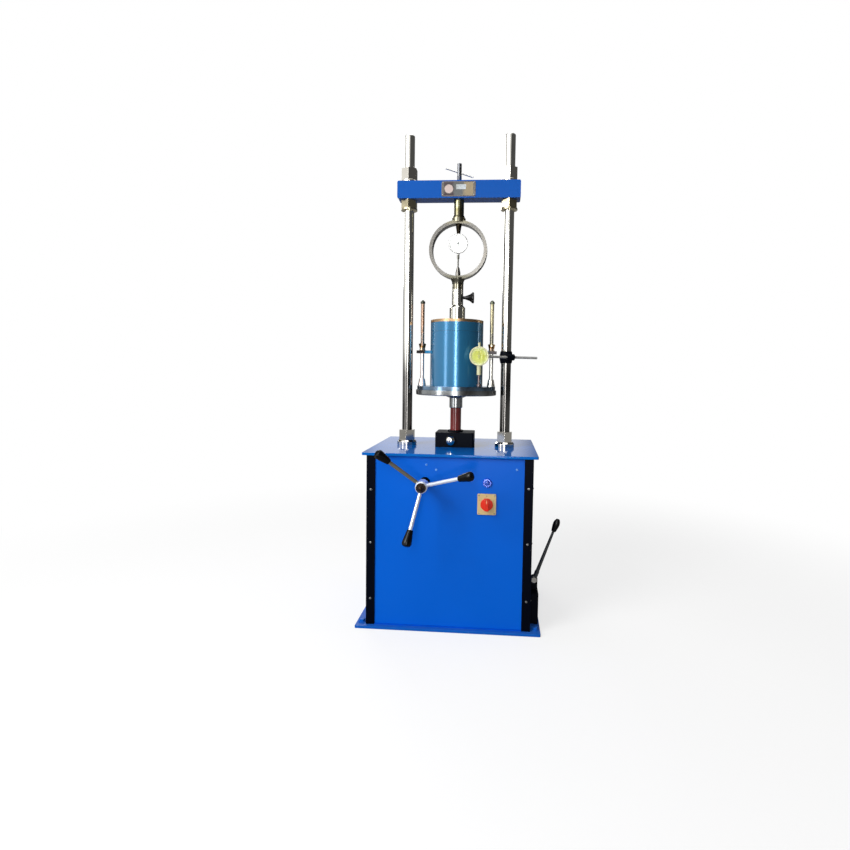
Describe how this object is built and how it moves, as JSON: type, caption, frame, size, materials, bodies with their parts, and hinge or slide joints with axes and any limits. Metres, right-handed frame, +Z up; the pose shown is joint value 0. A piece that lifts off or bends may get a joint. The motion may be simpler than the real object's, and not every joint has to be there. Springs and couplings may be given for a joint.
{
  "type": "bearing_ratio_load_frame",
  "caption": "Motorised soil bearing ratio load frame with proving ring, plunger, clamped mould, dial gauges, handwheel, rotary switch and gear lever",
  "frame": {"origin": "Centre of the base plate's underside, on the floor", "axes": "+Z up, -Y to the front, +X to the right of someone who faces the panel"},
  "size_m": [0.6023, 0.5635, 1.496],
  "materials": {
    "cabinet_blue": "gloss",
    "post_black": "satin",
    "chrome": "polished",
    "bright_steel": "turned",
    "black_iron": "satin",
    "cast_grey": "as cast",
    "mould_blue": "gloss",
    "ram_red": "gloss",
    "black_plastic": "gloss",
    "belt_rubber": "matte",
    "bronze": "machined",
    "motor_grey": "satin",
    "switch_yellow": "satin",
    "switch_red": "gloss",
    "lamp_lens": "clear",
    "dial_cream": "gloss",
    "dial_steel": "satin",
    "needle_black": "matte"
  },
  "bodies": {
    "frame": {"base_plate": "cabinet_blue", "cabinet_frame": "post_black", "front_panel": "cabinet_blue", "rear_cover": "cabinet_blue", "top_plate": "cabinet_blue", "power_inlet": "black_plastic", "left_column": "chrome", "right_column": "chrome", "left_foot_nut": "chrome", "right_foot_nut": "chrome", "ram_guide_block": "black_iron", "guide_plug": "chrome", "gear_case": "cast_grey", "front_bearing": "bright_steel", "rear_bearing": "bright_steel", "drive_belt": "belt_rubber", "speed_gearbox": "black_iron", "motor": "motor_grey", "lever_pivot_bolt": "chrome", "switch_plate": "switch_yellow", "lamp_bezel": "chrome", "lamp_lens": "lamp_lens"},
    "handwheel": {"worm_shaft": "bright_steel", "shaft_pulley": "cast_grey", "handwheel_hub": "chrome", "right_grip": "black_plastic", "upper_grip": "black_plastic", "lower_grip": "black_plastic"},
    "wheel": {"worm_wheel": "bronze"},
    "output": {"gearbox_pulley": "cast_grey"},
    "ram": {"ram": "ram_red", "platen": "chrome", "mould_base": "bright_steel", "mould_body": "mould_blue", "mould_collar": "mould_blue", "left_stay_rod": "bright_steel", "right_stay_rod": "bright_steel"},
    "left_wing": {"left_wing_nut": "black_iron"},
    "right_wing": {"right_wing_nut": "black_iron"},
    "crosshead": {"crosshead": "cabinet_blue", "left_upper_nut": "chrome", "right_upper_nut": "chrome", "left_lower_nut": "chrome", "right_lower_nut": "chrome", "proving_ring": "bright_steel", "ring_gauge": "dial_steel", "plunger_holder": "chrome", "plunger": "chrome"},
    "spindle": {"ring_spindle": "bright_steel", "tommy_bar": "chrome"},
    "ring_needle": {"ring_gauge_needle": "needle_black"},
    "plunger_clamp": {"plunger_knob": "black_plastic"},
    "gauge_arm": {"column_clamp": "black_iron", "gauge_rod": "chrome", "dial_case": "dial_cream"},
    "gauge_spindle": {"dial_spindle": "bright_steel"},
    "gauge_needle": {"dial_needle": "needle_black"},
    "lever": {"shift_lever": "chrome", "lever_knob": "black_plastic"},
    "switch": {"switch_knob": "switch_red"}
  },
  "joints": [
    {"name": "handwheel_turn", "type": "hinge", "parent": "frame", "child": "handwheel", "pos_m": [-0.07, 0, 0.437], "axis": [0, 1, 0], "range_deg": [0, 25500]},
    {"name": "wheel_spin", "type": "hinge", "parent": "frame", "child": "wheel", "pos_m": [0, 0, 0.437], "axis": [0, 0, 1], "range_deg": [-750.5, 0]},
    {"name": "output_spin", "type": "hinge", "parent": "frame", "child": "output", "pos_m": [0.15, 0, 0.062], "axis": [0, 1, 0], "range_deg": [0, 51010]},
    {"name": "ram_lift", "type": "slide", "parent": "frame", "child": "ram", "axis": [0, 0, 1], "range_m": [0, 0.02501]},
    {"name": "left_wing_turn", "type": "hinge", "parent": "ram", "child": "left_wing", "pos_m": [-0.111, 0, 0.83], "axis": [0, 0, 1], "range_deg": [0, 360]},
    {"name": "right_wing_turn", "type": "hinge", "parent": "ram", "child": "right_wing", "pos_m": [0.111, 0, 0.83], "axis": [0, 0, 1], "range_deg": [0, 360]},
    {"name": "crosshead_height", "type": "slide", "parent": "frame", "child": "crosshead", "axis": [0, 0, 1], "range_m": [-0.06, 0.08]},
    {"name": "spindle_turn", "type": "hinge", "parent": "crosshead", "child": "spindle", "pos_m": [0, 0, 1.382], "axis": [0, 0, 1], "range_deg": [-90, 90]},
    {"name": "ring_needle_turn", "type": "hinge", "parent": "crosshead", "child": "ring_needle", "pos_m": [0, 0, 1.161], "axis": [0, 1, 0], "range_deg": [0, 330]},
    {"name": "plunger_knob_turn", "type": "hinge", "parent": "crosshead", "child": "plunger_clamp", "pos_m": [0, 0, 0.9933], "axis": [1, 0, 0], "range_deg": [0, 360]},
    {"name": "gauge_swing", "type": "hinge", "parent": "frame", "child": "gauge_arm", "pos_m": [0.158, 0, 0.806], "axis": [0, 0, 1], "range_deg": [0, 90]},
    {"name": "gauge_spindle_slide", "type": "slide", "parent": "gauge_arm", "child": "gauge_spindle", "axis": [0, 0, 1], "range_m": [0, 0.02501]},
    {"name": "gauge_needle_turn", "type": "hinge", "parent": "gauge_arm", "child": "gauge_needle", "pos_m": [0.076, -0.088, 0.806], "axis": [0, 1, 0], "range_deg": [0, 9001]},
    {"name": "lever_shift", "type": "hinge", "parent": "frame", "child": "lever", "pos_m": [0.256, -0.11, 0.13], "axis": [0, 1, 0], "range_deg": [-18, 0]},
    {"name": "switch_turn", "type": "hinge", "parent": "frame", "child": "switch", "pos_m": [0.1095, -0.2, 0.378], "axis": [0, 1, 0], "range_deg": [-60, 60]}
  ],
  "couplings": [
    {"joint": "wheel_spin", "follows": "handwheel_turn", "ratio": -0.029412},
    {"joint": "output_spin", "follows": "handwheel_turn", "ratio": 2},
    {"joint": "ram_lift", "follows": "handwheel_turn", "m_per_rad": 0.000056172},
    {"joint": "gauge_spindle_slide", "follows": "handwheel_turn", "m_per_rad": 0.000056172},
    {"joint": "gauge_needle_turn", "follows": "handwheel_turn", "ratio": 0.35294}
  ]
}
